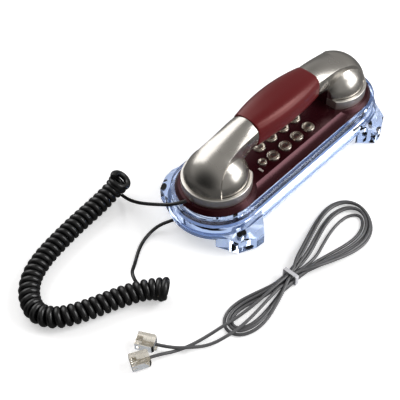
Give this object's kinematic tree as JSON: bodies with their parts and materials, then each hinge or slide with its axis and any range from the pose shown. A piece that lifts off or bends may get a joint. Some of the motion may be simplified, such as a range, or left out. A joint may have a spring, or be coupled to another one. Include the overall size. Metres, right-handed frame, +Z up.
{
  "type": "corded telephone",
  "caption": "Corded desk and wall telephone: clear stadium frame on four legs, handset with domed ends, keypad, coiled handset cord and line cord.",
  "frame": {"origin": "middle of the base on the floor, at the undersides of the rubber feet", "axes": "+Y from the mouthpiece towards the earpiece, +X across, +Z up from the floor"},
  "size_m": [0.1711, 0.3199, 0.0718],
  "materials": {
    "crystal": "clear moulded acrylic, faintly blue, polished",
    "maroon": "dark maroon ABS, satin gloss",
    "gunmetal": "metallised plastic, dark nickel, polished",
    "key_chrome": "metallised plastic, nickel",
    "black_plastic": "moulded, fine texture",
    "grey_plastic": "moulded, fine texture",
    "rubber": "matt",
    "zinc_steel": "zinc plated",
    "ballast_steel": "plain",
    "circuit_board": "green solder mask",
    "silicone": "matt",
    "lamp_lens": "moulded",
    "brass": "plain",
    "cord_black": "PVC, glossy",
    "cord_grey": "PVC, satin",
    "tie_plastic": "moulded",
    "clear_plug": "clear polycarbonate",
    "gold": "gold flashed"
  },
  "bodies": {
    "base": {"crystal_base": "crystal", "top_housing": "maroon", "hanger_tab": "maroon", "base_plate": "black_plastic", "base_pan": "grey_plastic", "rubber_foot_1": "rubber", "rubber_foot_2": "rubber", "rubber_foot_3": "rubber", "rubber_foot_4": "rubber", "base_screw_1": "zinc_steel", "base_screw_2": "zinc_steel", "base_screw_3": "zinc_steel", "base_screw_4": "zinc_steel", "main_board": "circuit_board", "keypad_membrane": "silicone", "call_lamp": "lamp_lens", "hook_switch": "black_plastic", "ringer": "brass", "ballast": "ballast_steel", "line_jack": "black_plastic", "cord_gland": "rubber", "handset_lead": "cord_black", "cord_coil": "cord_black", "base_lead": "cord_black", "line_lead_a": "cord_grey", "line_lead_b": "cord_grey", "line_hank": "cord_grey", "cord_tie": "tie_plastic", "plug_a": "clear_plug", "plug_b": "clear_plug", "plug_a_contacts": "gold", "plug_b_contacts": "gold"},
    "handset": {"ear_cap": "gunmetal", "ear_cup": "gunmetal", "mouth_cap": "gunmetal", "mouth_cup": "gunmetal", "ear_grille": "black_plastic", "mouth_grille": "black_plastic", "ear_speaker": "zinc_steel", "microphone": "zinc_steel", "grip_shell": "maroon", "handset_weight": "ballast_steel", "handset_screw_1": "zinc_steel", "handset_screw_2": "zinc_steel", "lead_boot": "cord_black"},
    "hook": {"hook_plunger": "maroon"},
    "key_1": {"key_1": "key_chrome"},
    "key_2": {"key_2": "key_chrome"},
    "key_3": {"key_3": "key_chrome"},
    "key_4": {"key_4": "key_chrome"},
    "key_5": {"key_5": "key_chrome"},
    "key_6": {"key_6": "key_chrome"},
    "key_7": {"key_7": "key_chrome"},
    "key_8": {"key_8": "key_chrome"},
    "key_9": {"key_9": "key_chrome"},
    "key_star": {"key_star": "key_chrome"},
    "key_0": {"key_0": "key_chrome"},
    "key_hash": {"key_hash": "key_chrome"},
    "key_redial": {"key_redial": "key_chrome"},
    "key_flash": {"key_flash": "key_chrome"}
  },
  "joints": [
    {"name": "handset_lift", "type": "slide", "parent": "base", "child": "handset", "axis": [0, 0, 1], "range_m": [0, 0.06]},
    {"name": "hook_slide", "type": "slide", "parent": "base", "child": "hook", "axis": [0, 0, 1], "range_m": [0, 0.0035]},
    {"name": "press_1", "type": "slide", "parent": "base", "child": "key_1", "axis": [0, 0, -1], "range_m": [0, 0.0012], "stiffness_N_per_m": 300},
    {"name": "press_2", "type": "slide", "parent": "base", "child": "key_2", "axis": [0, 0, -1], "range_m": [0, 0.0012], "stiffness_N_per_m": 300},
    {"name": "press_3", "type": "slide", "parent": "base", "child": "key_3", "axis": [0, 0, -1], "range_m": [0, 0.0012], "stiffness_N_per_m": 300},
    {"name": "press_4", "type": "slide", "parent": "base", "child": "key_4", "axis": [0, 0, -1], "range_m": [0, 0.0012], "stiffness_N_per_m": 300},
    {"name": "press_5", "type": "slide", "parent": "base", "child": "key_5", "axis": [0, 0, -1], "range_m": [0, 0.0012], "stiffness_N_per_m": 300},
    {"name": "press_6", "type": "slide", "parent": "base", "child": "key_6", "axis": [0, 0, -1], "range_m": [0, 0.0012], "stiffness_N_per_m": 300},
    {"name": "press_7", "type": "slide", "parent": "base", "child": "key_7", "axis": [0, 0, -1], "range_m": [0, 0.0012], "stiffness_N_per_m": 300},
    {"name": "press_8", "type": "slide", "parent": "base", "child": "key_8", "axis": [0, 0, -1], "range_m": [0, 0.0012], "stiffness_N_per_m": 300},
    {"name": "press_9", "type": "slide", "parent": "base", "child": "key_9", "axis": [0, 0, -1], "range_m": [0, 0.0012], "stiffness_N_per_m": 300},
    {"name": "press_star", "type": "slide", "parent": "base", "child": "key_star", "axis": [0, 0, -1], "range_m": [0, 0.0012], "stiffness_N_per_m": 300},
    {"name": "press_0", "type": "slide", "parent": "base", "child": "key_0", "axis": [0, 0, -1], "range_m": [0, 0.0012], "stiffness_N_per_m": 300},
    {"name": "press_hash", "type": "slide", "parent": "base", "child": "key_hash", "axis": [0, 0, -1], "range_m": [0, 0.0012], "stiffness_N_per_m": 300},
    {"name": "press_redial", "type": "slide", "parent": "base", "child": "key_redial", "axis": [0, 0, -1], "range_m": [0, 0.0012], "stiffness_N_per_m": 300},
    {"name": "press_flash", "type": "slide", "parent": "base", "child": "key_flash", "axis": [0, 0, -1], "range_m": [0, 0.0012], "stiffness_N_per_m": 300}
  ],
  "couplings": [
    {"joint": "hook_slide", "follows": "handset_lift", "ratio": 0.058333}
  ]
}
